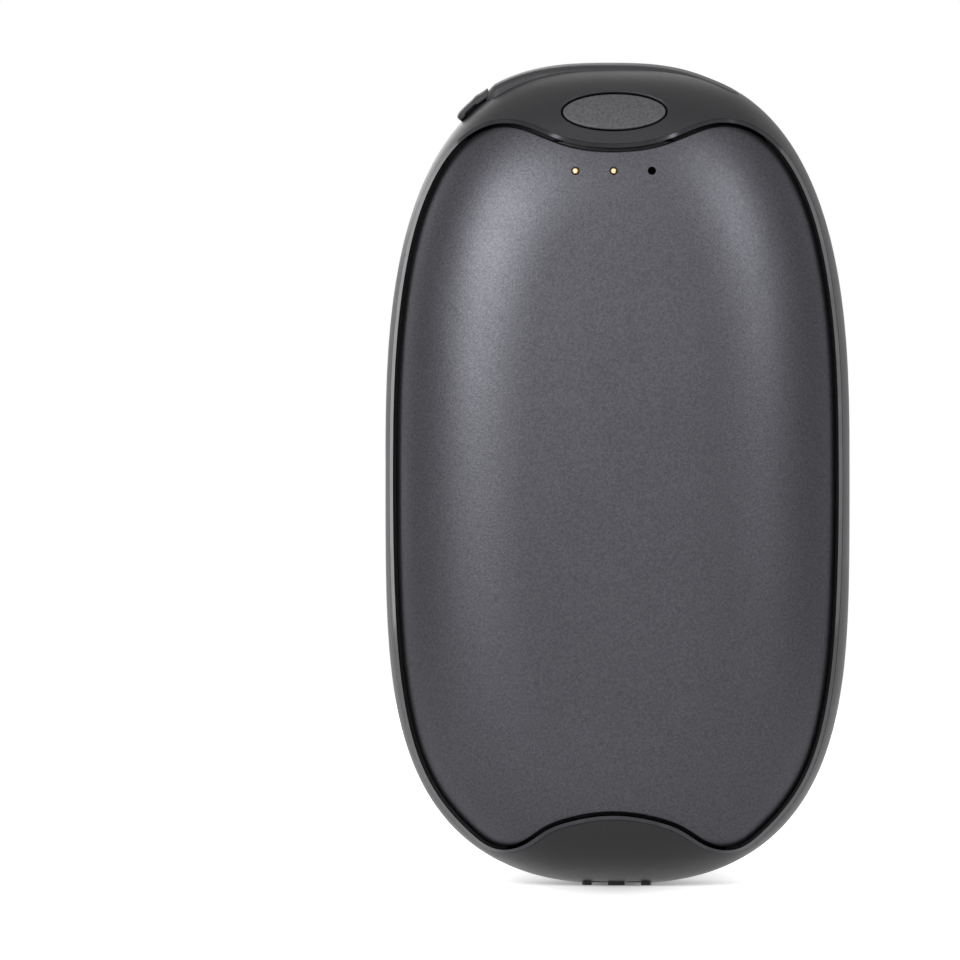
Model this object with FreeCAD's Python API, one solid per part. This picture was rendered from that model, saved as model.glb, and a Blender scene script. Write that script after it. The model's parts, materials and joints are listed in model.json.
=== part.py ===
import FreeCAD, Part
import math
import os

os.makedirs("parts", exist_ok=True)

# Rechargeable hand warmer, standing upright. Lengths are in millimetres.
# X points to the right, the front face looks towards -Y, and the top end with the button is at +Z.
# The origin is the middle of the bottom end, on the parting plane of the casing.

# Body: a flat pebble whose outline and rolled edge are power curves
body_length = 99.6
body_width = 56.6
body_depth = 25.0
waist_height = 51.0
flat_width = 20.0
flat_top_drop = 18.6
flat_bottom = 15.0
top_power = 2.75
bottom_power_across = 2.4
bottom_power_along = 3.95
edge_power = 2.3
outline_steps = 48
curve_edges = 4
edge_steps = 6
halvings = 40

# Plate, bezel and casing wall
plate_sink = 0.45
plate_thick = 0.9
plate_gap = 0.35
plate_round = 0.3
bezel_width = 0.45
bezel_rise = 0.15
bezel_round = 0.2
bezel_fit = 0.05
edge_reach = 0.02
ledge_thick = 1.3
ledge_width = 4.0
band_half = 4.0
parting_groove = 0.3
plate_edge_steps = 36
# Edge of the plate from the top middle to the bottom middle, on the right:
# shares of the side band's half width, and of its reach above or below the waist
plate_edge_shares = [
    (0, 0.7863), (0.2492, 0.8092), (0.4841, 0.8527), (0.6353, 0.8237), (0.765, 0.7386),
    (0.9039, 0.5), (0.9621, 0.0207), (0.9509, -0.3373), (0.908, -0.5739), (0.8145, -0.7439),
    (0.6364, -0.8712), (0.4984, -0.9149), (0.397, -0.8997), (0.3105, -0.8677), (0.166, -0.8378),
    (0, -0.8262),
]

# Power button and its tactile switch
button_width = 12.8
button_height = 4.8
button_block_gap = 0.5
button_sink = 0.1
button_gap = 0.2
button_round = 0.2
button_flange = 0.7
button_flange_thick = 0.8
button_travel = 0.4
switch_size = 3.0
switch_depth = 1.3
switch_nub_radius = 0.75
switch_nub_reach = 0.7
switch_nub_length = 1.3
switch_fit = 0.05

# Main board and what is on it
board_thick = 1.2
board_below_block = 2.3
board_top_drop = 3.6
board_margin = 0.6
board_screw_inset = 10.3
board_screw_rise = 2.0
board_screw_radius = 0.8
board_screw_head = 1.4
board_screw_head_thick = 0.7
board_screw_length = 5.0
board_hole_fit = 0.15
chip_size = 4.0
chip_thick = 0.8
control_chip_x = 12.0
control_chip_rise = 6.2
charge_chip_x = 15.0
charge_chip_rise = 5.8
coil_size = 5.0
coil_depth = 2.4
coil_x = -12.4
coil_rise = 7.6
capacitor_width = 1.2
capacitor_length = 2.0
capacitor_depth = 1.0
capacitor_x = -6.6
capacitor_rise = 3.4
capacitor_pitch = 2.4
capacitor_count = 3
led_width = 1.0
led_depth = 0.6
led_pitch = 3.4

# Charging socket and its soft flap
usb_width = 8.94
usb_height = 3.26
usb_wall = 0.3
usb_length = 7.3
usb_mouth_drop = 0.25
usb_fit = 0.15
usb_tongue_width = 6.6
usb_tongue_thick = 0.7
usb_tongue_recess = 1.5
usb_base_length = 1.6
flap_left = -15.9
flap_right = 14.8
flap_half_depth = 4.0
flap_inset = 1.35
flap_gap = 0.2
flap_rise = 0.5
flap_lean = 1.2
hinge_x = 12.4
hinge_slit = 0.06
anchor_root_width = 1.0
anchor_root_half_depth = 2.4
anchor_root_length = 2.6
anchor_root_fit = 0.05
plug_width = 7.2
plug_height = 1.9
plug_length = 1.1
tab_left = -18.9
tab_rise = 0.75
tab_half_depth = 3.0
tab_overlap = 0.5
tab_slit = 0.3
flap_corner = 1.6
tab_corner = 1.0

# Flat foot at the bottom end
foot_half_width = 4.2
foot_reach = 3.6
foot_height = 1.0
foot_corner = 0.8

# Wrist cord slots through the foot, with the bar between them
cord_slot = 2.0
cord_bar = 2.0
cord_bar_thick = 2.2
cord_channel = 2.0
cord_front_past = 0.3
cord_rear_reach = 1.5
cord_wall = 1.5

# Contacts under the top wave
contact_pitch = 4.6
contact_below_wave = 2.44
contact_hole_radius = 0.5
pin_radius = 0.4
pin_rise = 0.3
pin_length = 3.6
pin_flange_radius = 0.6
pin_flange_thick = 0.5
barrel_radius = 0.9
barrel_wall = 0.25
barrel_lip = 0.3
barrel_fit = 0.05
spring_wire_radius = 0.08
spring_radius = 0.42
spring_turns = 8
block_half_width = 12.6
block_half_height = 3.6
block_fit = 0.2
socket_depth = 2.2
magnet_radius = 2.0
magnet_thick = 3.0
magnet_x = 9.3
magnet_drop = 1.4
magnet_setback = 1.5

# Cells, chassis and heaters
cell_bottom = 13.6
cell_pad_gap = 0.35
cell_gap = 0.4
cell_fit = 0.15
link_thick = 0.15
link_width = 7.0
chassis_wall = 1.3
chassis_side_wall = 0.7
chassis_boss_gap = 0.3
chassis_board_gap = 0.35
chassis_margin = 0.4
chassis_cradle_start = 3.0
post_half_width = 2.2
wire_notch_half_width = 2.0
heater_bottom = 18.5
heater_board_gap = 0.4
heater_boss_gap = 1.1
heater_margin = 0.6
heater_thick = 0.25
pad_thick = 1.4
thermistor_radius = 0.9
thermistor_length = 1.5
thermistor_window = 1.4

# Leads
lead_radius = 0.55
thin_lead_radius = 0.25
lead_spacing = 2.4
thin_lead_spacing = 0.7
lead_on_film = 1.6
lead_bend_share = 0.45

# Screws that join the casing halves
boss_radius = 2.3
boss_inset = 6.5
boss_rise = 24.0
boss_drop = 25.6
boss_root = 0.4
screw_radius = 0.9
screw_head_radius = 1.7
screw_head_thick = 1.2
screw_head_gap = 0.35
screw_grip = 4.6
screw_fit = 0.1

# One overrun serves all cuts
overrun = 2.0

# Sizes worked out from the ones above
front = -1
rear = 1
half_width = body_width / 2
half_depth = body_depth / 2
rise = body_length - waist_height
flat_top = body_length - flat_top_drop
seat_inset = plate_sink + plate_thick
wall = seat_inset + ledge_thick
film_face = half_depth - seat_inset
pad_face = film_face - heater_thick
bezel_inner = plate_gap
bezel_outer = plate_gap + bezel_width
boss_x = half_width - boss_inset
boss_heights = (boss_rise, body_length - boss_drop)


def reaches(inset, spread):
    """Reach of the drawn-in body to the side, up and down at one place of its rolled edge."""
    top_flat = flat_top - waist_height
    bottom_flat = waist_height - flat_bottom
    return (flat_width / 2 + (half_width - inset - flat_width / 2) * spread,
            top_flat + (rise - inset - top_flat) * spread,
            bottom_flat + (waist_height - inset - bottom_flat) * spread)


def edge_roll(share):
    """Power curve of the rolled edge: what is left of one reach where the other has this share."""
    return max(1 - share ** edge_power, 0) ** (1 / edge_power)


def halve(low, high, is_low):
    """Value between two others from which on a test is no longer true, found by halving."""
    for step in range(halvings):
        middle = (low + high) / 2
        if is_low(middle):
            low = middle
        else:
            high = middle
    return high


def is_outside(x, z, reach_x, reach_top, reach_bottom):
    """Whether a place lies outside the outline of two power curves; z counts from the waist."""
    if z >= 0:
        return (abs(x) / reach_x) ** top_power + (z / reach_top) ** top_power > 1
    return (abs(x) / reach_x) ** bottom_power_across + (-z / reach_bottom) ** bottom_power_along > 1


def surface_depth(inset, x, z):
    """Depth of the drawn-in body's face at a place, from the spread of the rolled edge there."""
    spread = halve(0, 1, lambda share: is_outside(x, z - waist_height, *reaches(inset, share)))
    return (half_depth - inset) * edge_roll(spread)


# Contacts under the dip of the top wave, and the button above their block
band_reaches = reaches(0, edge_roll(band_half / half_depth))
wave_dip = waist_height + plate_edge_shares[0][1] * band_reaches[1]
contact_place = wave_dip - contact_below_wave
magnet_place = contact_place - magnet_drop
button_bottom = contact_place + block_half_height + button_block_gap + button_flange
button_place = button_bottom + button_height / 2
contact_face = -surface_depth(plate_sink, 0, contact_place)
pin_tip = contact_face - pin_rise
pin_end = pin_tip + pin_length
barrel_front = pin_end - pin_flange_thick - barrel_lip

# Board that carries the contact block, with the switch between the button and the board
board_top = body_length - board_top_drop
board_bottom = contact_place - block_half_height - board_below_block
board_back = -usb_height / 2
board_front = board_back - board_thick
board_screw_x = half_width - board_screw_inset
board_screw_z = board_bottom + board_screw_rise
switch_front = board_front - switch_depth
nub_front = switch_front - switch_nub_reach
flange_front = nub_front - button_flange_thick

# The two cells are as thick as the tray's width and the pads leave room for, and end below the board
chassis_half_width = boss_x - boss_radius - chassis_boss_gap
cell_radius_across = (chassis_half_width - chassis_side_wall - cell_gap / 2) / 2
cell_radius = min(cell_radius_across, pad_face - pad_thick - cell_pad_gap)
cell_x = cell_radius + cell_gap / 2
cell_top = board_bottom - chassis_board_gap - chassis_wall - link_thick
heater_top = board_bottom - heater_board_gap
heater_half_width = boss_x - boss_radius - heater_boss_gap
thermistor_place = (heater_bottom + heater_top) / 2

# Screw heads stay under the rear plate
screw_head_reach = min(surface_depth(seat_inset, boss_x + screw_head_radius, z) for z in boss_heights)
screw_head_place = screw_head_reach - screw_head_gap - screw_head_thick
print("contacts, button and screw heads:", round(contact_place, 3), round(button_place, 3),
      round(screw_head_place, 3))


def vec(x, y, z):
    return FreeCAD.Vector(x, y, z)


def box(x_from, x_to, y_from, y_to, z_from, z_to):
    """Box between two corners, given in any order."""
    low = vec(min(x_from, x_to), min(y_from, y_to), min(z_from, z_to))
    return Part.makeBox(abs(x_to - x_from), abs(y_to - y_from), abs(z_to - z_from), low)


def rod_y(x, z, radius, y_from, y_to):
    """Cylinder along Y."""
    return Part.makeCylinder(radius, abs(y_to - y_from), vec(x, min(y_from, y_to), z), vec(0, 1, 0))


def rod_z(x, y, radius, z_from, z_to):
    """Cylinder along Z."""
    return Part.makeCylinder(radius, z_to - z_from, vec(x, y, z_from), vec(0, 0, 1))


def closed_curve(points):
    """Smooth closed wire through the points, evenly spread along its parameter and cut into a few edges."""
    count = len(points)
    curve = Part.BSplineCurve()
    curve.interpolate(Points=points, PeriodicFlag=True,
                      Parameters=[step / count for step in range(count + 1)])
    cuts = [step / curve_edges for step in range(curve_edges + 1)]
    return Part.Wire([curve.toShape(start, end) for start, end in zip(cuts, cuts[1:])])


def prism_y(wire, y_from, y_to):
    """Solid that a wire in an XZ plane sweeps along Y."""
    face = Part.Face(wire)
    face.translate(vec(0, y_from - wire.BoundBox.YMin, 0))
    return face.extrude(vec(0, y_to - y_from, 0))


def outline_wire(width_reach, top_reach, bottom_reach, y):
    """Body outline at depth y, through points spread by their angle about the waist's middle."""
    points = []
    for step in range(outline_steps):
        angle = math.pi / curve_edges + 2 * math.pi * step / outline_steps
        x = math.cos(angle)
        z = math.sin(angle)
        radius = halve(0, body_length, lambda reach: not is_outside(
            reach * x, reach * z, width_reach, top_reach, bottom_reach))
        points.append(vec(radius * x, y, waist_height + radius * z))
    return closed_curve(points)


half_bodies = {}


def half_body(inset, side):
    """Front or rear half of the pebble, drawn in by an inset: outlines shrink along the rolled edge."""
    if (inset, side) not in half_bodies:
        sections = []
        for step in range(edge_steps + 1):
            turn = math.pi / 2 * step / edge_steps
            spread = math.cos(turn) ** (2 / edge_power) if step < edge_steps else 0
            depth = (half_depth - inset) * math.sin(turn) ** (2 / edge_power)
            sections.append(outline_wire(*reaches(inset, spread), side * depth))
        half_bodies[(inset, side)] = Part.makeLoft(sections, True, False, False)
    return half_bodies[(inset, side)]


def whole_body(inset):
    return half_body(inset, front).fuse(half_body(inset, rear)).removeSplitter()


def outline_slab(inset, y_from, y_to):
    """Body outline, drawn in by an inset, as a straight slab along Y."""
    wire = outline_wire(half_width - inset, rise - inset, waist_height - inset, 0)
    return prism_y(wire, y_from, y_to)


def mirrored(points):
    return [vec(-point.x, 0, point.z) for point in points]


def plate_edge(offset, draw_in):
    """Wave-shaped edge of the plate, its reaches drawn in, moved outwards by an offset."""
    reach_x, reach_top, reach_bottom = [reach - draw_in for reach in band_reaches]
    right = [vec(x * reach_x, 0, waist_height + z * (reach_top if z > 0 else reach_bottom))
             for x, z in plate_edge_shares]
    curve = Part.BSplineCurve()
    curve.interpolate(Points=mirrored(right[2:0:-1]) + right + mirrored(right[-2:-4:-1]))
    start = curve.parameter(right[0])
    end = curve.parameter(right[-1])
    points = []
    for step in range(plate_edge_steps):
        place = start + (end - start) * (2 * step + 1) / (2 * plate_edge_steps)
        along = curve.tangent(place)[0]
        points.append(curve.value(place) + vec(-along.z, 0, along.x) * offset)
    side_start = plate_edge_steps // 2
    return closed_curve(points[side_start:] + mirrored(points[::-1]) + points[:side_start])


def plate_prism(offset, side, draw_in=0):
    """Space over the plate edge, from the side band outwards."""
    return prism_y(plate_edge(offset, draw_in), side * band_half, side * (half_depth + overrun))


def skin(outer_inset, inner_inset, side):
    """Layer of the body between two insets."""
    return half_body(outer_inset, side).cut(half_body(inner_inset, side))


def rim_edges(solid, outline, inset):
    """Edges of a solid that follow an outline on the face of the drawn-in body."""
    edges = []
    for edge in solid.Edges:
        middle = edge.valueAt((edge.FirstParameter + edge.LastParameter) / 2)
        foot = Part.Vertex(vec(middle.x, 0, middle.z))
        off_face = abs(abs(middle.y) - surface_depth(inset, middle.x, middle.z))
        if outline.distToShape(foot)[0] < edge_reach and off_face < edge_reach:
            edges.append(edge)
    return edges


def button_outline(grow):
    """Ellipse of the button, grown by a clearance."""
    ellipse = Part.Ellipse(vec(button_width / 2 + grow, 0, button_place),
                           vec(0, 0, button_place + button_height / 2 + grow),
                           vec(0, 0, button_place))
    return Part.Wire([ellipse.toShape()])


def button_prism(grow, y_from, y_to):
    """Elliptical space of the button, grown by a clearance."""
    return prism_y(button_outline(grow), y_from, y_to)


def stadium(width, height, z_from, z_to):
    """Upright bar with a stadium section, about the Z axis."""
    radius = height / 2
    reach = width / 2 - radius
    solid = box(-reach, reach, -radius, radius, z_from, z_to)
    solid = solid.fuse(rod_z(-reach, 0, radius, z_from, z_to))
    solid = solid.fuse(rod_z(reach, 0, radius, z_from, z_to))
    return solid.removeSplitter()


# Hinge of the flap: the soft web at this place on the outline, where the flap bends
hinge_height = rise * (1 - (hinge_x / half_width) ** top_power) ** (1 / top_power)
hinge_z = waist_height + hinge_height
normal_x = hinge_x ** (top_power - 1) / half_width ** top_power
normal_z = hinge_height ** (top_power - 1) / rise ** top_power
hinge_slope = math.degrees(math.atan2(normal_x, normal_z))
print("flap hinge axis:", round(hinge_x, 4), round(hinge_z, 4))

usb_mouth = body_length - flap_inset - flap_gap - usb_mouth_drop
usb_back = usb_mouth - usb_length


def round_ends(solid, radius, ends):
    """Round the upright edges at the given X ends of a box."""
    edges = [edge for edge in solid.Edges
             if edge.BoundBox.XLength < radius and edge.BoundBox.YLength < radius
             and min(abs(edge.BoundBox.Center.x - end) for end in ends) < radius]
    return solid.makeFillet(radius, edges)


def flap_space(gap):
    """Recess of the flap, or with no gap the room that the flap itself fills below the outline."""
    left = flap_left - gap
    right = flap_right + gap
    strip = box(left, right, -flap_half_depth - gap, flap_half_depth + gap,
                hinge_z - rise / 2, body_length + overrun)
    strip = round_ends(strip, flap_corner + gap, (left, right))
    return strip.cut(outline_slab(flap_inset + gap, -half_depth, half_depth))


def beyond_hinge(slit):
    """Everything to the right of the hinge, past a slit."""
    room = box(slit, body_length, -half_depth, half_depth, -body_length, body_length)
    room.rotate(vec(0, 0, 0), vec(0, 1, 0), hinge_slope)
    room.translate(vec(hinge_x, 0, hinge_z))
    return room


def anchor_root(fit):
    """Root of the flap's anchor, through the casing wall."""
    middle = (hinge_x + flap_right) / 2
    reach = anchor_root_width / 2 + fit
    depth = anchor_root_half_depth + fit
    return box(middle - reach, middle + reach, -depth, depth,
               hinge_z - flap_inset - anchor_root_length, hinge_z - flap_inset)


def foot(side):
    """Half of the flat foot that the unit stands on, with rounded outer corners."""
    pad = box(-foot_half_width, foot_half_width, 0, side * foot_reach, 0, foot_height)
    corners = [edge for edge in pad.Edges
               if edge.BoundBox.ZLength > foot_height / 2 and edge.BoundBox.Center.y != 0]
    return pad.makeFillet(foot_corner, corners)


def casing_half(side):
    """Casing half: wall with the plate's pocket and ledge, screw bosses and half of each end feature."""
    shell = skin(0, wall, side)
    pocket = plate_prism(bezel_outer + bezel_fit, side).cut(half_body(seat_inset, side))
    shell = shell.cut(pocket)
    shell = shell.cut(plate_prism(0, side, ledge_width))
    room = half_body(wall - boss_root, side)
    for x in (-boss_x, boss_x):
        for z in boss_heights:
            boss = rod_y(x, z, boss_radius, 0, side * half_depth).common(room)
            shell = shell.fuse(boss)
    cord_reach = cord_bar / 2 + cord_slot
    cord_roof = cord_bar_thick + cord_channel
    shell = shell.fuse(foot(side))
    cord_end = side * (foot_reach + cord_front_past if side == front else cord_rear_reach)
    block = box(-cord_reach - cord_wall, cord_reach + cord_wall,
                0, cord_end + side * cord_wall, 0, cord_roof + cord_wall)
    shell = shell.fuse(block.common(room))
    for way in (-1, 1):
        slot = box(way * cord_bar / 2, way * cord_reach,
                   -side * overrun, cord_end, -overrun, cord_roof)
        shell = shell.cut(slot)
    channel = box(-cord_reach, cord_reach, -side * overrun, cord_end, cord_bar_thick, cord_roof)
    shell = shell.cut(channel)
    shell = shell.cut(flap_space(flap_gap))
    shell = shell.cut(anchor_root(anchor_root_fit))
    shell = shell.cut(stadium(usb_width + 2 * usb_fit, usb_height + 2 * usb_fit,
                              usb_back, body_length))
    groove = outline_slab(-overrun, 0, side * parting_groove / 2)
    groove = groove.cut(outline_slab(parting_groove, 0, side * parting_groove / 2))
    return shell.cut(groove)


def front_shell():
    """Front casing half, with the button's hole and the notch for the contact block."""
    shell = casing_half(front)
    shell = shell.cut(button_prism(0, -half_depth - overrun, board_front))
    shell = shell.makeFillet(button_round, rim_edges(shell, button_outline(0), 0))
    shell = shell.cut(button_prism(button_flange + button_gap, flange_front - button_gap, board_front))
    notch = box(-block_half_width - block_fit, block_half_width + block_fit,
                -half_depth, board_front,
                contact_place - block_half_height - block_fit,
                contact_place + block_half_height + block_fit)
    shell = shell.cut(notch.common(half_body(seat_inset, front)))
    for x in (-boss_x, boss_x):
        for z in boss_heights:
            shell = shell.cut(rod_y(x, z, screw_radius, -screw_grip, overrun))
    return shell


def rear_shell():
    """Rear casing half, whose bosses take the screw heads from behind."""
    shell = casing_half(rear)
    for x in (-boss_x, boss_x):
        for z in boss_heights:
            shell = shell.cut(rod_y(x, z, screw_radius + screw_fit, -overrun, half_depth))
            shell = shell.cut(rod_y(x, z, screw_head_radius + screw_fit, screw_head_place, half_depth))
    return shell


def plate(side):
    """Aluminium heating plate: a layer of the body inside the wave-shaped edge, which is rounded."""
    solid = skin(plate_sink, seat_inset, side).common(plate_prism(0, side))
    return solid.makeFillet(plate_round, rim_edges(solid, plate_edge(0, 0), plate_sink))


def front_plate():
    solid = plate(front)
    for step in (-1, 0, 1):
        solid = solid.cut(rod_y(step * contact_pitch, contact_place, contact_hole_radius,
                                -half_depth - overrun, 0))
    return solid


def bezel(side):
    """Ring round the plate, with a rounded top that stands a little over the casing."""
    ring = plate_prism(bezel_outer, side).cut(plate_prism(bezel_inner, side))
    solid = skin(-bezel_rise, seat_inset, side).common(ring)
    crown = max(solid.Faces, key=lambda face: side * face.CenterOfMass.y)
    return solid.makeFillet(bezel_round, crown.Edges)


def power_button():
    """Elliptical key with a flange behind the casing wall."""
    key = half_body(button_sink, front).common(
        button_prism(-button_gap, -half_depth, flange_front))
    key = key.makeFillet(button_round, rim_edges(key, button_outline(-button_gap), button_sink))
    flange = button_prism(button_flange, flange_front, nub_front)
    return key.fuse(flange)


def switch_body():
    half = switch_size / 2
    case = box(-half, half, switch_front, board_front, button_place - half, button_place + half)
    bore_end = nub_front + switch_nub_length + button_travel + switch_fit
    return case.cut(rod_y(0, button_place, switch_nub_radius + switch_fit, switch_front, bore_end))


def switch_plunger():
    return rod_y(0, button_place, switch_nub_radius, nub_front, nub_front + switch_nub_length)


def port_flap():
    """Soft flap up to its hinge: strip, plug for the socket, and pull tab over a nail slit."""
    lifted = whole_body(0)
    lifted.translate(vec(-flap_lean, 0, flap_rise))
    strip = flap_space(0).common(lifted).cut(beyond_hinge(0))
    raised = whole_body(0)
    raised.translate(vec(-tab_rise, 0, tab_rise))
    tab = box(tab_left, flap_left + tab_overlap, -tab_half_depth, tab_half_depth,
              waist_height, body_length + overrun)
    tab = round_ends(tab, tab_corner, (tab_left,)).common(raised).cut(whole_body(-tab_slit))
    plug = stadium(plug_width, plug_height, usb_mouth - plug_length, body_length)
    return strip.fuse(plug).fuse(tab).removeSplitter()


def flap_anchor():
    """Fixed end of the flap, held by its root in the casing wall."""
    end = flap_space(flap_gap - anchor_root_fit).common(whole_body(0)).common(beyond_hinge(hinge_slit))
    return end.fuse(anchor_root(0)).removeSplitter()


def usb_shell():
    outer = stadium(usb_width, usb_height, usb_back, usb_mouth)
    return outer.cut(stadium(usb_width - 2 * usb_wall, usb_height - 2 * usb_wall, usb_back, usb_mouth))


def usb_tongue():
    base = stadium(usb_width - 2 * usb_wall, usb_height - 2 * usb_wall,
                   usb_back, usb_back + usb_base_length)
    half = usb_tongue_width / 2
    blade = box(-half, half, -usb_tongue_thick / 2, usb_tongue_thick / 2,
                usb_back, usb_mouth - usb_tongue_recess)
    return base.fuse(blade)


def main_board():
    """Board that follows the inside of the casing, cut free of the board screws."""
    blank = box(-half_width, half_width, board_front, board_back, board_bottom, board_top)
    solid = blank.common(half_body(wall + board_margin, front))
    for x in (-board_screw_x, board_screw_x):
        solid = solid.cut(rod_y(x, board_screw_z, board_screw_radius + board_hole_fit,
                                -half_depth, half_depth))
    return solid


def on_board(x, z, width, height, depth, side):
    """Flat component soldered to the front or the rear face of the board."""
    face = board_front if side == front else board_back
    return box(x - width / 2, x + width / 2, face, face + side * depth, z - height / 2, z + height / 2)


def board_capacitors():
    places = [capacitor_x + capacitor_pitch * step for step in range(capacitor_count)]
    return Part.makeCompound([on_board(x, board_bottom + capacitor_rise, capacitor_width,
                                       capacitor_length, capacitor_depth, rear) for x in places])


def status_leds():
    places = [way * led_pitch for way in (-1, 1)]
    return Part.makeCompound([on_board(x, button_place, led_width, led_width, led_depth, front)
                              for x in places])


def board_screws():
    screws = []
    for x in (-board_screw_x, board_screw_x):
        head = rod_y(x, board_screw_z, board_screw_head, board_front - board_screw_head_thick, board_front)
        shank = rod_y(x, board_screw_z, board_screw_radius, board_front, board_front + board_screw_length)
        screws.append(head.fuse(shank).removeSplitter())
    return Part.makeCompound(screws)


def contact_pin(x):
    """Sprung pin: domed tip, shaft, and the flange that keeps it in its barrel."""
    tip = Part.makeSphere(pin_radius, vec(x, pin_tip + pin_radius, contact_place))
    shaft = rod_y(x, contact_place, pin_radius, pin_tip + pin_radius, pin_end)
    flange = rod_y(x, contact_place, pin_flange_radius, pin_end - pin_flange_thick, pin_end)
    return tip.fuse(shaft).fuse(flange).removeSplitter()


def contact_barrels():
    barrels = []
    for x in (-contact_pitch, 0):
        tube = rod_y(x, contact_place, barrel_radius, barrel_front, board_front)
        tube = tube.cut(rod_y(x, contact_place, barrel_radius - barrel_wall,
                              barrel_front + barrel_lip, board_front - barrel_wall))
        barrels.append(tube.cut(rod_y(x, contact_place, pin_radius + barrel_fit,
                                      barrel_front, barrel_front + barrel_lip)))
    return Part.makeCompound(barrels)


def contact_spring(x):
    """Coil between the pin's flange and the end of its barrel, laid as half-turn arcs."""
    start = pin_end + spring_wire_radius
    end = board_front - barrel_wall - spring_wire_radius
    pitch = (end - start) / spring_turns

    def coil_point(turns):
        angle = 2 * math.pi * turns
        return vec(x + spring_radius * math.cos(angle), start + pitch * turns,
                   contact_place + spring_radius * math.sin(angle))

    arcs = []
    for half_turn in range(2 * spring_turns):
        turns = half_turn / 2
        arcs.append(Part.Arc(coil_point(turns), coil_point(turns + 1 / 4),
                             coil_point(turns + 1 / 2)).toShape())
    path = Part.Wire(arcs)
    lead_in = arcs[0].tangentAt(arcs[0].FirstParameter)
    ring = Part.Wire([Part.makeCircle(spring_wire_radius, coil_point(0), lead_in)])
    print("spring gap between turns:", round(pitch - 2 * spring_wire_radius, 3))
    return path.makePipeShell([ring], True, False)


def contact_block():
    """Insulating block behind the plate: barrels and socket in its bores, magnets in its ends."""
    solid = box(-block_half_width, block_half_width, -half_depth, board_front,
                contact_place - block_half_height, contact_place + block_half_height)
    solid = solid.common(half_body(seat_inset, front))
    for x in (-contact_pitch, 0):
        solid = solid.cut(rod_y(x, contact_place, barrel_radius, barrel_front, board_front))
        solid = solid.cut(rod_y(x, contact_place, pin_radius + barrel_fit, -half_depth, barrel_front))
    solid = solid.cut(rod_y(contact_pitch, contact_place, contact_hole_radius, -half_depth,
                            contact_face + socket_depth))
    solid = solid.cut(rod_y(contact_pitch, contact_place, barrel_radius,
                            contact_face + socket_depth, board_front))
    return solid.cut(coupling_magnets())


def contact_socket():
    return rod_y(contact_pitch, contact_place, barrel_radius, contact_face + socket_depth, board_front)


def coupling_magnets():
    """Magnets moulded into the contact block, behind the plate's flat."""
    face = magnet_setback - film_face
    return Part.makeCompound([rod_y(x, magnet_place, magnet_radius, face, face + magnet_thick)
                              for x in (-magnet_x, magnet_x)])


def battery_cell(x):
    return rod_z(x, 0, cell_radius, cell_bottom, cell_top)


def battery_link(z_from):
    """Nickel strip across the ends of both cells."""
    reach = cell_x + link_width / 2
    return box(-reach, reach, -link_width / 2, link_width / 2, z_from, z_from + link_thick)


def battery_chassis():
    """Tray: end walls, rear cradles for the cells, and two posts that carry the board."""
    low = cell_bottom - link_thick - chassis_wall
    high = cell_top + link_thick + chassis_wall
    back = pad_face - pad_thick
    solid = box(-chassis_half_width, chassis_half_width, chassis_cradle_start, back, low, high)
    for way in (-1, 1):
        z_from = low if way < 0 else high - chassis_wall
        solid = solid.fuse(box(-chassis_half_width, chassis_half_width, -cell_radius, back,
                               z_from, z_from + chassis_wall))
    for x in (-cell_x, cell_x):
        solid = solid.cut(rod_z(x, 0, cell_radius + cell_fit, low + chassis_wall, high - chassis_wall))
    solid = solid.cut(box(-wire_notch_half_width, wire_notch_half_width, -half_depth, half_depth,
                          high - chassis_wall, high))
    solid = solid.cut(box(-wire_notch_half_width, wire_notch_half_width,
                          chassis_cradle_start, half_depth, low + chassis_wall, high))
    for x in (-board_screw_x, board_screw_x):
        post = box(x - post_half_width, x + post_half_width, board_back, back,
                   high - chassis_wall, board_screw_z + post_half_width)
        post = post.cut(rod_y(x, board_screw_z, board_screw_radius,
                              board_back, board_front + board_screw_length))
        solid = solid.fuse(post)
    return solid.common(whole_body(wall + chassis_margin))


def film(outer_inset, inner_inset, z_to, side):
    """Sheet that follows the inside of the plate, clear of the ledge and the screw bosses."""
    window = box(-heater_half_width, heater_half_width, 0, side * half_depth, heater_bottom, z_to)
    window = window.common(plate_prism(0, side, ledge_width + heater_margin))
    return skin(outer_inset, inner_inset, side).common(window)


def heater(side):
    return film(seat_inset, seat_inset + heater_thick, heater_top, side)


def insulation(side):
    """Pad between the film heater and the cells, with a window for the thermistor at the front."""
    solid = film(seat_inset + heater_thick, seat_inset + heater_thick + pad_thick,
                 heater_top - lead_on_film, side)
    if side == front:
        solid = solid.cut(rod_y(0, thermistor_place, thermistor_window, -half_depth, 0))
    return solid


def thermistor():
    return rod_y(0, thermistor_place, thermistor_radius, -pad_face, thermistor_length - pad_face)


def lead(points, radius):
    """Insulated lead along straight runs joined by tangent arcs."""
    edges = []
    start = points[0]
    for before, corner, after in zip(points, points[1:], points[2:]):
        inward = corner - before
        outward = after - corner
        turn = inward.getAngle(outward)
        trim = lead_bend_share * min(inward.Length, outward.Length)
        print("lead bend radius:", round(trim / math.tan(turn / 2), 3))
        enter = corner - inward.normalize() * trim
        leave = corner + outward.normalize() * trim
        bisector = (outward - inward).normalize()
        radius_of_bend = trim / math.tan(turn / 2)
        middle = corner + bisector * (radius_of_bend / math.cos(turn / 2) - radius_of_bend)
        edges.append(Part.LineSegment(start, enter).toShape())
        edges.append(Part.Arc(enter, middle, leave).toShape())
        start = leave
    edges.append(Part.LineSegment(start, points[-1]).toShape())
    path = Part.Wire(edges)
    ring = Part.Wire([Part.makeCircle(radius, points[0], points[1] - points[0])])
    return path.makePipeShell([ring], True, False)


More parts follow.
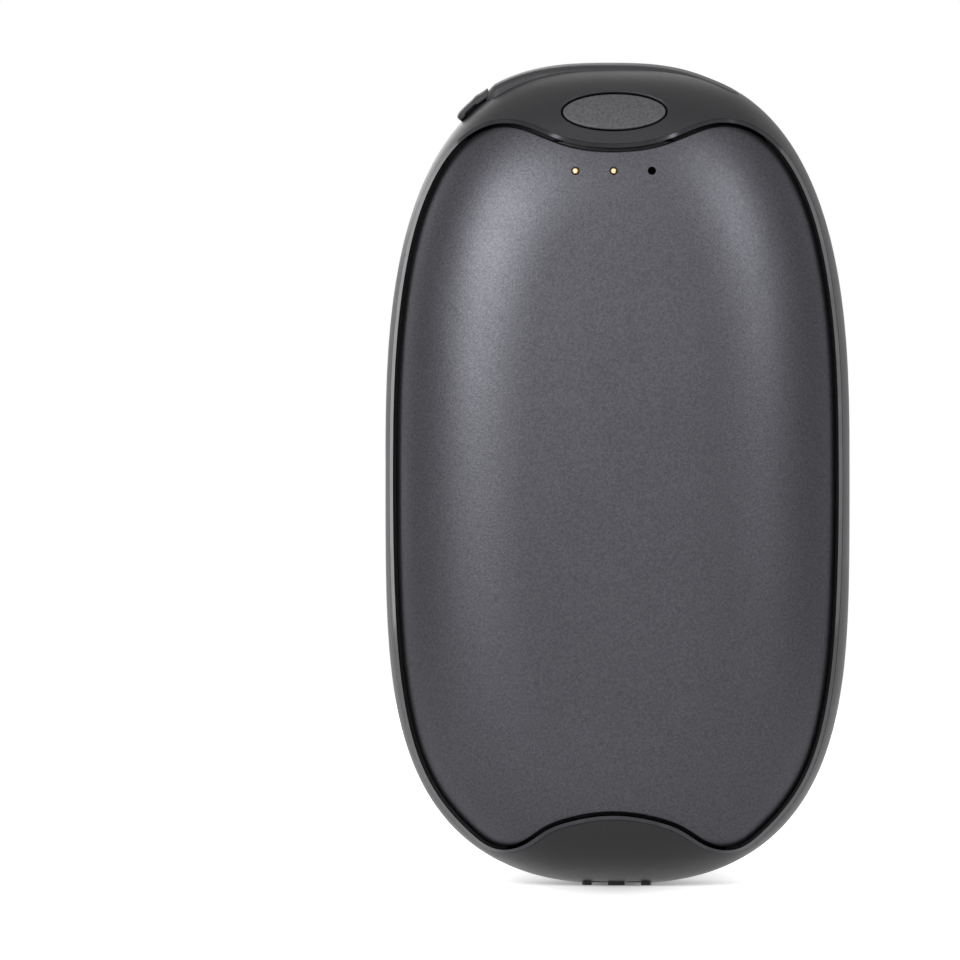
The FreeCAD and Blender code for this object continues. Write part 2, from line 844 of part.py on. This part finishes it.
def heater_leads(side):
    """Pair of leads from the film's top edge to the board."""
    on_film = side * (pad_face - lead_radius)
    face = board_front if side == front else board_back
    height = board_bottom + 2 * lead_radius
    leads = []
    for x in (-lead_spacing / 2, lead_spacing / 2):
        leads.append(lead([vec(x, on_film, heater_top - lead_on_film), vec(x, on_film, height),
                           vec(x, face, height)], lead_radius))
    return Part.makeCompound(leads)


def thermistor_leads():
    """Pair of fine leads from the thermistor up the valley between the cells."""
    depth = thermistor_length - pad_face + thin_lead_radius
    height = board_bottom + 3 * lead_radius
    leads = []
    for x in (-thin_lead_spacing / 2, thin_lead_spacing / 2):
        leads.append(lead([vec(x, depth, thermistor_place), vec(x, depth, height),
                           vec(x, board_front, height)], thin_lead_radius))
    return Part.makeCompound(leads)


def battery_lead_positive():
    """Lead from the top link, round behind, to the board's rear face."""
    start_z = cell_top + link_thick
    back_y = link_width / 2 - lead_radius
    height = board_bottom + 4 * lead_radius
    return lead([vec(0, back_y, start_z), vec(0, back_y, height), vec(0, board_back, height)], lead_radius)


def battery_lead_negative():
    """Lead from the bottom link up the rear valley between the cells to the board's rear face."""
    valley = cell_radius - 2 * lead_radius
    low = cell_bottom + lead_radius
    height = board_bottom + 7 * lead_radius
    return lead([vec(0, link_width / 2, low), vec(0, valley, low), vec(0, valley, height),
                 vec(0, board_back, height)], lead_radius)


def shell_screws():
    screws = []
    for x in (-boss_x, boss_x):
        for z in boss_heights:
            shank = rod_y(x, z, screw_radius, -screw_grip, screw_head_place)
            head = rod_y(x, z, screw_head_radius, screw_head_place, screw_head_place + screw_head_thick)
            screws.append(shank.fuse(head).removeSplitter())
    return Part.makeCompound(screws)


nodes = {
    "front_shell": front_shell(),
    "rear_shell": rear_shell(),
    "front_plate": front_plate(),
    "rear_plate": plate(rear),
    "front_bezel": bezel(front),
    "rear_bezel": bezel(rear),
    "power_button": power_button(),
    "switch_body": switch_body(),
    "switch_plunger": switch_plunger(),
    "port_flap": port_flap(),
    "flap_anchor": flap_anchor(),
    "usb_shell": usb_shell(),
    "usb_tongue": usb_tongue(),
    "main_board": main_board(),
    "control_chip": on_board(control_chip_x, board_bottom + control_chip_rise, chip_size, chip_size,
                             chip_thick, rear),
    "charge_chip": on_board(charge_chip_x, board_bottom + charge_chip_rise, chip_size, chip_size,
                            chip_thick, front),
    "power_coil": on_board(coil_x, board_bottom + coil_rise, coil_size, coil_size, coil_depth, rear),
    "board_capacitors": board_capacitors(),
    "status_leds": status_leds(),
    "board_screws": board_screws(),
    "contact_pin_left": contact_pin(-contact_pitch),
    "contact_pin_middle": contact_pin(0),
    "contact_spring_left": contact_spring(-contact_pitch),
    "contact_spring_middle": contact_spring(0),
    "contact_barrels": contact_barrels(),
    "contact_socket": contact_socket(),
    "contact_block": contact_block(),
    "coupling_magnets": coupling_magnets(),
    "battery_cell_left": battery_cell(-cell_x),
    "battery_cell_right": battery_cell(cell_x),
    "battery_link_top": battery_link(cell_top),
    "battery_link_bottom": battery_link(cell_bottom - link_thick),
    "battery_chassis": battery_chassis(),
    "front_heater": heater(front),
    "rear_heater": heater(rear),
    "front_insulation": insulation(front),
    "rear_insulation": insulation(rear),
    "thermistor": thermistor(),
    "thermistor_leads": thermistor_leads(),
    "front_heater_leads": heater_leads(front),
    "rear_heater_leads": heater_leads(rear),
    "battery_lead_positive": battery_lead_positive(),
    "battery_lead_negative": battery_lead_negative(),
    "shell_screws": shell_screws(),
}

for name, shape in nodes.items():
    shape.exportStep("parts/" + name + ".step")
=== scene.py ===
import json
import math

import bmesh
import bpy
import numpy as np
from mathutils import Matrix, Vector


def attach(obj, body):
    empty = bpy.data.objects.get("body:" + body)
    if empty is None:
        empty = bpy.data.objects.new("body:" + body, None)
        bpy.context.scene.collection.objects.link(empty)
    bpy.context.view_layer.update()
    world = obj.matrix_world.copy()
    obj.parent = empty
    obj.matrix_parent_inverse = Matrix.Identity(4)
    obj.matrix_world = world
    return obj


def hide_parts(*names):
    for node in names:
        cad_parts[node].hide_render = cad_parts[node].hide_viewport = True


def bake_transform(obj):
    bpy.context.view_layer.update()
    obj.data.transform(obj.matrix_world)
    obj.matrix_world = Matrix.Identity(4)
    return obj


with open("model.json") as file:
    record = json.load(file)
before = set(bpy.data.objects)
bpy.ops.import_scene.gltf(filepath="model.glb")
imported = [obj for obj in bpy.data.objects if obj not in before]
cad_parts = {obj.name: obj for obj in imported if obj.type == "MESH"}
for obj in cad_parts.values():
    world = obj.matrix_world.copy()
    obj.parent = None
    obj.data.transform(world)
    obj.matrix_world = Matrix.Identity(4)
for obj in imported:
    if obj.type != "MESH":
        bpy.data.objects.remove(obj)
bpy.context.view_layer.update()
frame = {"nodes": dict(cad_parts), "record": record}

MM = 0.001
FULL_TURN = 2 * np.pi

# Contact springs, in millimetres: height of their axis, and depth of the wire's middle at both ends
CONTACT_HEIGHT, SPRING_FRONT, SPRING_BACK = 86.302, -8.355, -3.16


# Shapes, in millimetres

def smooth(low, high, value):
    """Smooth step: 0 below low, 1 above high, 3t^2 - 2t^3 between."""
    t = np.clip((value - low) / (high - low), 0, 1)
    return t * t * (3 - 2 * t)


def casing_top(x, y, inset=0.0):
    """Height of the casing's top end: a power curve across the width, of power 2.75, above height 51. Its reach
    is 10 + 18.3 roll and its rise 30 + 18.6 roll, where roll = (1 - (|y| / 12.5)^2.3)^(1 / 2.3) is the roll of
    the edge at depth y; inset is taken off both."""
    middle, half_depth, roll_power, outline_power = 51, 12.5, 2.3, 2.75
    roll = (1 - (np.abs(y) / half_depth) ** roll_power) ** (1 / roll_power)
    reach = 10 + (18.3 - inset) * roll
    rise = 30 + (18.6 - inset) * roll
    return middle + rise * np.maximum(1 - (np.abs(x) / reach) ** outline_power, 0) ** (1 / outline_power)


def quarter_round(run, radius):
    """Drop of a quarter-round edge at a distance from its end: radius - sqrt(radius^2 - (radius - run)^2)."""
    short = radius - np.clip(run, 0, radius)
    return radius - np.sqrt(radius ** 2 - short ** 2)


def rounded_square(count, start=0.0):
    """Points of |u|^4 + |v|^4 = 1: u is the signed root of the cosine, and v of the sine, of even angles."""
    angle = np.linspace(0, FULL_TURN, count, endpoint=False) + start
    return [np.sign(part) * np.abs(part) ** 0.5 for part in (np.cos(angle), np.sin(angle))]


def loft(rings):
    """Skin over a row of closed rings, each joined to the next by quads; both end rings are drawn in to their
    middle, and the faces are turned round where the volume, a sum of triple products, comes out negative."""
    first = np.repeat(rings[:1].mean(1, keepdims=True), rings.shape[1], 1)
    last = np.repeat(rings[-1:].mean(1, keepdims=True), rings.shape[1], 1)
    rings = np.concatenate([first, rings, last])
    index = np.arange(rings.shape[0] * rings.shape[1]).reshape(rings.shape[:2])
    ahead = np.roll(index, -1, 1)
    quads = np.stack([index[:-1], ahead[:-1], ahead[1:], index[1:]], -1).reshape(-1, 4)
    points = rings.reshape(-1, 3)
    p, q, r, s = (points[quads[:, corner]] for corner in range(4))
    volume = np.sum(p * np.cross(q, r)) + np.sum(p * np.cross(r, s))
    return points, quads if volume > 0 else quads[:, ::-1]


def piece(name, skins, material):
    """One mesh object from several skins, poles merged, with soft shading up to 40 degrees."""
    starts = np.cumsum([0] + [len(points) for points, _ in skins])
    points = np.concatenate([points for points, _ in skins]) * MM
    quads = np.concatenate([quads + start for (_, quads), start in zip(skins, starts)])
    mesh = bpy.data.meshes.new(name)
    mesh.from_pydata(points.tolist(), [], quads.tolist())
    work = bmesh.new()
    work.from_mesh(mesh)
    bmesh.ops.remove_doubles(work, verts=work.verts, dist=1e-7)
    bmesh.ops.dissolve_degenerate(work, edges=work.edges, dist=1e-8)
    work.to_mesh(mesh)
    work.free()
    mesh.polygons.foreach_set("use_smooth", np.ones(len(mesh.polygons), bool))
    mesh.set_sharp_from_angle(angle=math.radians(40))
    mesh.materials.append(material)
    thing = bpy.data.objects.new(name, mesh)
    bpy.context.scene.collection.objects.link(thing)
    return thing


def flap_strip():
    """Soft strip over the top end: one profile carried along X. The profile has a top that follows the casing,
    two rounded shoulders, upright sides and a flat underside. Along X its half depth follows plan corners of
    1.6, its top stands 0.48 proud and sinks to the casing before the hinge, its left end is rolled by 1.2, and
    its underside is raised in a bell curve to a thin web at the hinge."""
    left, right, corner, shoulder = -15.9, 14.95, 1.6, 0.6
    left_roll, right_roll = 1.2, 0.15
    stand, lean = 0.48, 1.2
    thickness, web_place, web_spread, web_rise = 1.35, 12.4, 0.7, 0.75
    top_count, shoulder_count, side_count, under_count = 25, 9, 4, 7

    turn = np.linspace(0, 1, 25)
    x = np.concatenate([left + 1.7 * turn ** 2,
                        np.linspace(left + 1.8, right - 1.7, 150),
                        right - 1.6 * turn[::-1] ** 2])[:, None]
    ends = np.minimum(x - left, right - x)
    half = 4.0 + 0.14 * smooth(-10, -8, x)
    half = half - corner + np.sqrt(corner ** 2 - (corner - np.minimum(ends, corner)) ** 2)

    # The profile's points in order: top, right shoulder, right side, underside, left side, left shoulder
    bend = np.radians(np.linspace(0, 90, shoulder_count + 1)[1:])
    top_row = np.linspace(-1, 1, top_count)
    side_row = np.linspace(0, 1, side_count + 1)[1:]
    under_row = np.linspace(1, -1, under_count + 2)[1:-1]
    upright = np.ones(side_count)
    edge = np.ones(shoulder_count + side_count)
    flat = np.concatenate([top_row, edge, under_row, -edge])
    out = np.concatenate([0 * top_row, np.sin(bend), upright, under_row, -upright, -np.sin(bend[::-1])])
    drop = np.concatenate([0 * top_row, 1 - np.cos(bend), upright, np.ones(under_count), upright,
                           1 - np.cos(bend[::-1])])
    sink = np.concatenate([0 * top_row, 0 * bend, side_row, np.ones(under_count), side_row[::-1], 0 * bend])

    y = flat * (half - shoulder) + out * shoulder
    proud = 1 - smooth(9, 13, x)
    top = casing_top(x + lean * proud, y) + stand * proud
    top = top - quarter_round(x - left, left_roll) - quarter_round(right - x, right_roll) - shoulder * drop
    under = casing_top(x, 0 * x, thickness) + web_rise * np.exp(-((x - web_place) / web_spread) ** 2)
    z = (1 - sink) * top + sink * under
    return loft(np.stack([np.broadcast_to(x, y.shape), y, z], -1))


def flap_tab():
    """Pull tab: a rounded-square section, |y / 3|^4 + |n|^4 = 1, carried along the casing's outline and laid on
    its roll. It reaches from 0.04 to 1.06 off the casing; its plan corners are 1.0, its nose is rounded, a low
    bell-shaped ridge crosses it near the strip, and a nail slit 0.28 high runs under each long edge."""
    nose, root, half_depth, corner = -18.9, -15.3, 3.0, 1.0
    lowest, highest, slit_height = 0.04, 1.06, 0.28
    ridge_place, ridge_spread, ridge_height = -16.5, 0.35, 0.1
    step = 0.01

    x = np.concatenate([nose + corner * np.linspace(0, 1, 16) ** 2, np.linspace(-17.85, root, 40)])[:, None]
    run = x - nose
    slope = (casing_top(x + step, 0 * x) - casing_top(x, 0 * x)) / step
    tilt = np.sqrt(1 + slope ** 2)
    wide, tall = rounded_square(96)
    y = (half_depth - corner + np.sqrt(corner ** 2 - (corner - np.minimum(run, corner)) ** 2)) * wide
    slit = smooth(-18.3, -18.1, x) * (1 - smooth(-16.9, -16.7, x)) * smooth(1.9, 2.1, np.abs(y))
    low = lowest + slit_height * slit
    high = highest - 0.5 * quarter_round(run, 0.6)
    high = high + ridge_height * np.exp(-((x - ridge_place) / ridge_spread) ** 2)
    off = low + (high - low) * (tall + 1) / 2
    return loft(np.stack([x - slope / tilt * off, y, casing_top(x, y) + off / tilt], -1))


def flap_plug():
    """Plug that fills the socket's mouth: a slot-shaped ring, two half circles of radius 0.95 set 5.3 apart,
    carried downwards and drawn in along a quarter round of 0.25 at its end."""
    radius, half_spread, tip_round = 0.95, 2.65, 0.25
    root, shoulder = 98.7, 96.95
    turn = np.linspace(0, np.pi / 2, 7)
    z = np.concatenate([[root], shoulder - tip_round * np.sin(turn)])[:, None]
    inset = np.concatenate([[0], tip_round - tip_round * np.cos(turn)])[:, None]
    angle = np.linspace(0, FULL_TURN, 64, endpoint=False) + np.pi / 64
    x = (radius - inset) * np.cos(angle) + half_spread * np.sign(np.cos(angle))
    y = (radius - inset) * np.sin(angle)
    return loft(np.stack([x, y, np.broadcast_to(z, x.shape)], -1))


def tongue_contact(x, side):
    """Contact strip on the socket's tongue: a rounded-square ring 0.26 wide and 0.05 high, carried upwards and
    smaller at both ends."""
    half_width, half_height, tongue_face = 0.13, 0.025, 0.36
    z = np.array([92.2, 92.3, 95.8, 95.9])[:, None]
    grow = np.array([0.4, 1, 1, 0.4])[:, None]
    wide, high = rounded_square(12, np.pi / 12)
    wide = wide * half_width * grow
    high = high * half_height * grow
    return loft(np.stack([x + wide, side * tongue_face + high, np.broadcast_to(z, wide.shape)], -1))


def contact_spring(x):
    """Spring behind a contact pin: a round wire of radius 0.08 carried along a helix of radius 0.42 about Y with
    8 turns, from the pin's end to the barrel's floor. The wire's ring lies along the helix's normal and
    binormal."""
    wire, coil, turns, rings_per_turn = 0.08, 0.42, 8, 40
    turn = np.linspace(0, turns * FULL_TURN, turns * rings_per_turn + 1)[:, None]
    ring = np.linspace(0, FULL_TURN, 12, endpoint=False)
    climb = (SPRING_BACK - SPRING_FRONT) / (turns * FULL_TURN)
    length = math.hypot(coil, climb)
    out = coil + wire * np.cos(ring)
    rise = wire * np.sin(ring)
    y = SPRING_FRONT + climb * turn + rise * coil / length
    lean = rise * climb / length
    return loft(np.stack([x + out * np.cos(turn) + lean * np.sin(turn), y,
                          CONTACT_HEIGHT + out * np.sin(turn) - lean * np.cos(turn)], -1))


# Materials

def linear(hex_colour):
    """sRGB hex value as a linear colour with alpha 1."""
    parts = [int(hex_colour[i:i + 2], 16) / 255 for i in (1, 3, 5)]
    return [p / 12.92 if p <= 0.04045 else ((p + 0.055) / 1.055) ** 2.4 for p in parts] + [1.0]


def add(tree, kind, props=None, values=None, links=None):
    """One node with its properties, input values and links into it."""
    node = tree.nodes.new(kind)
    for name, value in (props or {}).items():
        setattr(node, name, value)
    for socket, value in (values or {}).items():
        node.inputs[socket].default_value = value
    for socket, source in (links or {}).items():
        tree.links.new(source, node.inputs[socket])
    return node


def finish(name, low, high, grain, rough, relief, metallic=0.0, level=0.5, swing=0.06):
    """Mottled surface. Noise with a grain in mm sways the colour between low and high and lifts the surface by
    relief in mm; slow noise with patches of 9 mm sways the roughness by swing."""
    patch = 9.0
    noise_span = {"From Min": 0.3, "From Max": 0.7}
    material = bpy.data.materials.new(name)
    material.use_nodes = True
    tree = material.node_tree
    shader = tree.nodes["Principled BSDF"]
    shader.inputs["Metallic"].default_value = metallic
    shader.inputs["Specular IOR Level"].default_value = level
    place = add(tree, "ShaderNodeTexCoord")
    fine = add(tree, "ShaderNodeTexNoise", values={"Scale": 1 / (grain * MM), "Detail": 2.0},
               links={"Vector": place.outputs["Object"]})
    slow = add(tree, "ShaderNodeTexNoise", values={"Scale": 1 / (patch * MM), "Detail": 3.0},
               links={"Vector": place.outputs["Object"]})
    share = add(tree, "ShaderNodeMapRange", values=noise_span, links={"Value": fine.outputs[0]})
    colour = add(tree, "ShaderNodeMix", {"data_type": "RGBA"}, {6: linear(low), 7: linear(high)},
                 {0: share.outputs[0]})
    gloss = add(tree, "ShaderNodeMapRange", values={**noise_span, "To Min": rough - swing, "To Max": rough + swing},
                links={"Value": slow.outputs[0]})
    bump = add(tree, "ShaderNodeBump", values={"Strength": 1.0, "Distance": relief * MM},
               links={"Height": fine.outputs[0]})
    tree.links.new(colour.outputs[2], shader.inputs["Base Color"])
    tree.links.new(gloss.outputs[0], shader.inputs["Roughness"])
    tree.links.new(bump.outputs[0], shader.inputs["Normal"])
    return material


def casing_abs():
    """Black ABS, moulded with a fine satin grain. The grain is real at about 0.1 mm and is drawn at 0.16 mm so
    that it shows; where the two halves meet, at depth 0, a shallow groove is bumped in and darkened with painted
    shade."""
    line_core, line_edge, line_depth = 0.04, 0.13, 0.06
    material = finish("satin_black_abs", "#161618", "#1c1c1e", 0.16, 0.43, 0.004, level=0.25, swing=0.03)
    tree = material.node_tree
    shader = tree.nodes["Principled BSDF"]
    place, colour, bump = (tree.nodes[name] for name in ("Texture Coordinate", "Mix", "Bump"))
    split = add(tree, "ShaderNodeSeparateXYZ", links={0: place.outputs["Object"]})
    depth = add(tree, "ShaderNodeMath", {"operation": "ABSOLUTE"}, links={0: split.outputs["Y"]})
    away = add(tree, "ShaderNodeMapRange", {"interpolation_type": "SMOOTHSTEP"},
               {"From Min": line_core * MM, "From Max": line_edge * MM}, {"Value": depth.outputs[0]})
    # Painted shade: the colour darkens towards the seam, standing in for shade in its groove; the bump below is the
    # real groove.
    seam_shade = add(tree, "ShaderNodeMix", {"data_type": "RGBA"}, {6: linear("#0c0c0d")},
               {0: away.outputs[0], 7: colour.outputs[2]})
    groove = add(tree, "ShaderNodeBump", values={"Strength": 1.0, "Distance": line_depth * MM},
                 links={"Height": away.outputs[0], "Normal": bump.outputs[0]})
    tree.links.new(seam_shade.outputs[2], shader.inputs["Base Color"])
    tree.links.new(groove.outputs[0], shader.inputs["Normal"])
    return material


materials = {
    # Satin black moulding: dark, with a broad soft sheen.
    "casing_black": casing_abs(),
    # Bead-blasted aluminium, anodised gunmetal: dull metal that sparkles at the size of the blasting beads.
    "plate_gunmetal": finish("blasted_anodised_aluminium", "#39393d", "#454549", 0.26, 0.44, 0.012, 1.0, swing=0.02),
    # Bead in polished black chrome: mirror-like, so it shows the lights as thin lines.
    "bezel_gloss": finish("polished_black_chrome", "#343437", "#3c3c3f", 2.0, 0.1, 0.0005, 1.0, swing=0.02),
    # Key in charcoal ABS with a coarse etched grain that breaks up its sheen.
    "button_grey": finish("etched_charcoal_abs", "#363638", "#4a4a4d", 0.3, 0.5, 0.016, level=0.25),
    # Silicone rubber: matt and slightly grey, with a powdery fine grain.
    "flap_rubber": finish("matt_silicone_rubber", "#222224", "#2a2a2c", 0.2, 0.55, 0.004, level=0.25),
    # Bright steel sheet and wire.
    "steel": finish("bright_nickelled_steel", "#b8b8ba", "#c9c9ca", 0.6, 0.25, 0.002, 1.0),
    # Gold plating over brass, burnished.
    "gold": finish("burnished_gold_plate", "#d9b27a", "#ecca94", 0.3, 0.26, 0.001, 1.0),
    # Glass-filled nylon and chip moulding compound, dull black.
    "black_moulding": finish("dull_black_nylon", "#161617", "#202022", 0.2, 0.55, 0.006),
    # White acetal and lens plastic.
    "switch_white": finish("white_acetal", "#d8d8d4", "#e6e6e2", 0.8, 0.3, 0.001),
    # Glass-epoxy board under green solder mask; the weave shows as a faint mottle.
    "board_green": finish("solder_masked_glass_epoxy", "#0f4527", "#16583a", 0.9, 0.35, 0.004),
    # Fired ceramic, tan.
    "capacitor_tan": finish("tan_ceramic", "#a08763", "#b59b76", 0.25, 0.6, 0.006),
    # Nickel plating on sintered magnet.
    "magnet_nickel": finish("bright_nickel_plate", "#b9b6ae", "#cbc8c0", 0.8, 0.18, 0.001, 1.0),
    # Shrink sleeve in blue vinyl, slightly wavy.
    "cell_sleeve": finish("blue_vinyl_sleeve", "#1c4a8a", "#24569c", 3.0, 0.3, 0.02),
    # Rolled nickel strip.
    "nickel_strip": finish("rolled_nickel_strip", "#a8a49b", "#bdb9b0", 0.4, 0.32, 0.002, 1.0),
    # Natural white ABS, moulded.
    "chassis_white": finish("natural_white_abs", "#d2d0c8", "#dedcd5", 0.4, 0.5, 0.004),
    # Amber polyimide film over an etched foil.
    "film_amber": finish("amber_polyimide_film", "#8a4d12", "#b06a1e", 2.4, 0.25, 0.006),
    # Needled felt: matt, with tufts.
    "foam_grey": finish("grey_needle_felt", "#707070", "#9a9a98", 0.35, 0.9, 0.06),
    # Silicone lead insulation, red and black.
    "lead_red": finish("red_silicone_lead", "#a01a18", "#b42320", 0.5, 0.5, 0.003),
    "lead_black": finish("black_silicone_lead", "#19191a", "#232324", 0.5, 0.5, 0.003),
}
for subpart in frame["record"]["subparts"]:
    mesh = frame["nodes"][subpart["node"]].data
    mesh.materials.clear()
    mesh.materials.append(materials[subpart["material_slot"]])
# The third contact lies deep in its hole; its brass is coloured near black as painted shade.
brass_painted_shade = finish("brass_painted_shade", "#15110c", "#1f1912", 0.2, 0.6, 0.003, 1.0)
frame["nodes"]["contact_socket"].data.materials[0] = brass_painted_shade

# Soft flap: one moulding from its anchor over the hinge to its pull tab
flap = piece("soft_port_flap", [flap_strip(), flap_tab(), flap_plug()], materials["flap_rubber"])
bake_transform(flap)
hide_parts("port_flap", "flap_anchor")

# Contact strips of the charging socket: two rows of 12, half a millimetre apart
strip_places = 0.5 * (np.arange(12) - 5.5)
strips = piece("socket_contact_strips", [tongue_contact(x, side) for side in (-1, 1) for x in strip_places],
               materials["gold"])
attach(strips, "warmer_body")

# Contact springs, which shorten between their barrel's floor and their pin
for side, x in (("left", -4.6), ("middle", 0.0)):
    spring = piece("soft_contact_spring_" + side, [contact_spring(x)], materials["steel"])
    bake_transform(spring)
    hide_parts("contact_spring_" + side)

# Floor: pale paper that also glows white to the camera and in mirrors. To the camera the glow is lower in an
# oval round the object, a painted shadow there on top of the object's cast shadow.
FLOOR_HALF = 4
corners = [(-FLOOR_HALF, -FLOOR_HALF, 0), (FLOOR_HALF, -FLOOR_HALF, 0), (FLOOR_HALF, FLOOR_HALF, 0),
           (-FLOOR_HALF, FLOOR_HALF, 0)]
floor_mesh = bpy.data.meshes.new("floor")
floor_mesh.from_pydata(corners, [], [(0, 1, 2, 3)])
floor = bpy.data.objects.new("floor", floor_mesh)
bpy.context.scene.collection.objects.link(floor)
paper = bpy.data.materials.new("white_paper_floor")
paper.use_nodes = True
floor_mesh.materials.append(paper)
tree = paper.node_tree
ray = add(tree, "ShaderNodeLightPath")
seen = add(tree, "ShaderNodeMath", {"operation": "MAXIMUM"},
           links={0: ray.outputs["Is Camera Ray"], 1: ray.outputs["Is Transmission Ray"]})
place = add(tree, "ShaderNodeTexCoord")
oval = add(tree, "ShaderNodeVectorMath", {"operation": "MULTIPLY"}, {1: (1.8, 0.6, 1)},
           {0: place.outputs["Object"]})
radius = add(tree, "ShaderNodeVectorMath", {"operation": "LENGTH"}, links={0: oval.outputs[0]})
# Painted shadow: the glow the camera sees sinks from 1.0 to 0.15 in this oval towards the object.
painted_shadow_level = add(tree, "ShaderNodeMapRange",
                 values={"From Min": 3 * MM, "From Max": 35 * MM, "To Min": 0.15, "To Max": 1.0},
                 links={"Value": radius.outputs["Value"]})
seen_level = add(tree, "ShaderNodeMath", {"operation": "MULTIPLY"},
                 links={0: painted_shadow_level.outputs[0], 1: seen.outputs[0]})
glow_level = add(tree, "ShaderNodeMath", {"operation": "MAXIMUM"},
                 links={0: seen_level.outputs[0], 1: ray.outputs["Is Glossy Ray"]})
diffuse = add(tree, "ShaderNodeBsdfDiffuse", values={"Color": linear("#d6d6d6")})
glow = add(tree, "ShaderNodeEmission", links={"Strength": glow_level.outputs[0]})
both = add(tree, "ShaderNodeAddShader", links={0: diffuse.outputs[0], 1: glow.outputs[0]})
tree.links.new(both.outputs[0], tree.nodes["Material Output"].inputs["Surface"])

# World: white to the camera and in mirrors, a dim even fill to everything else
world = bpy.data.worlds.new("studio")
bpy.context.scene.world = world
world.use_nodes = True
tree = world.node_tree
background = tree.nodes["Background"]
background.inputs["Color"].default_value = (1, 1, 1, 1)
ray = add(tree, "ShaderNodeLightPath")
seen = add(tree, "ShaderNodeMath", {"operation": "MAXIMUM"},
           links={0: ray.outputs["Is Camera Ray"], 1: ray.outputs["Is Glossy Ray"]})
seen = add(tree, "ShaderNodeMath", {"operation": "MAXIMUM"},
           links={0: seen.outputs[0], 1: ray.outputs["Is Transmission Ray"]})
level = add(tree, "ShaderNodeMapRange", values={"To Min": 0.02, "To Max": 1.0}, links={"Value": seen.outputs[0]})
tree.links.new(level.outputs[0], background.inputs["Strength"])


def softbox(name, place, aim, width, height, watts):
    """Rectangular area lamp at a place, turned towards its aim."""
    light = bpy.data.lights.new(name, "AREA")
    light.shape = "RECTANGLE"
    light.size = width
    light.size_y = height
    light.energy = watts
    lamp = bpy.data.objects.new(name, light)
    bpy.context.scene.collection.objects.link(lamp)
    lamp.location = place
    lamp.rotation_euler = (Vector(aim) - Vector(place)).to_track_quat("-Z", "Y").to_euler()


# Lamps: name, place, aim, width and height in metres, watts
plate_left, plate_right = (-0.014, -0.012, 0.075), (0.014, -0.012, 0.075)
for lamp in (
    ("left_box", (-0.084, -0.16, 0.11), plate_left, 0.06, 0.07, 0.26),
    ("left_high_box", (-0.12, -0.16, 0.15), plate_left, 0.04, 0.06, 0.095),
    ("right_box", (0.094, -0.16, 0.135), plate_right, 0.05, 0.1, 0.2),
    ("front_top_box", (0, -0.25, 0.3), (0, 0, 0.06), 0.36, 0.014, 0.1),
    ("top_box", (0, -0.02, 0.35), (0, 0, 0.09), 0.4, 0.1, 0.08),
    ("back_box", (0, 0.2, 0.35), (0, 0, 0.06), 0.2, 0.2, 0.15),
    ("rear_box", (-0.2, 0.45, 0.3), (0, 0, 0.05), 0.3, 0.3, 0.9),
    ("left_rim", (-0.4, 0.2, 0.15), (0, 0, 0.05), 0.2, 0.4, 0.5),
    ("right_rim", (0.4, 0.2, 0.15), (0, 0, 0.05), 0.2, 0.4, 0.2),
):
    softbox(*lamp)

# Camera at the photo's angle, with a long lens; the shift puts the object at its place in the frame
azimuth = math.radians(2.3)
distance = 0.7
target = Vector((0, 0, 49.2 * MM))
camera = bpy.data.cameras.new("camera")
camera.lens = 215.1
camera.sensor_width = 36
camera.shift_x = -0.1432
eye = bpy.data.objects.new("camera", camera)
bpy.context.scene.collection.objects.link(eye)
eye.location = target + distance * Vector((math.sin(azimuth), -math.cos(azimuth), 0))
eye.rotation_euler = (target - eye.location).to_track_quat("-Z", "Y").to_euler()
bpy.context.scene.camera = eye
bpy.context.scene.view_settings.view_transform = "Standard"
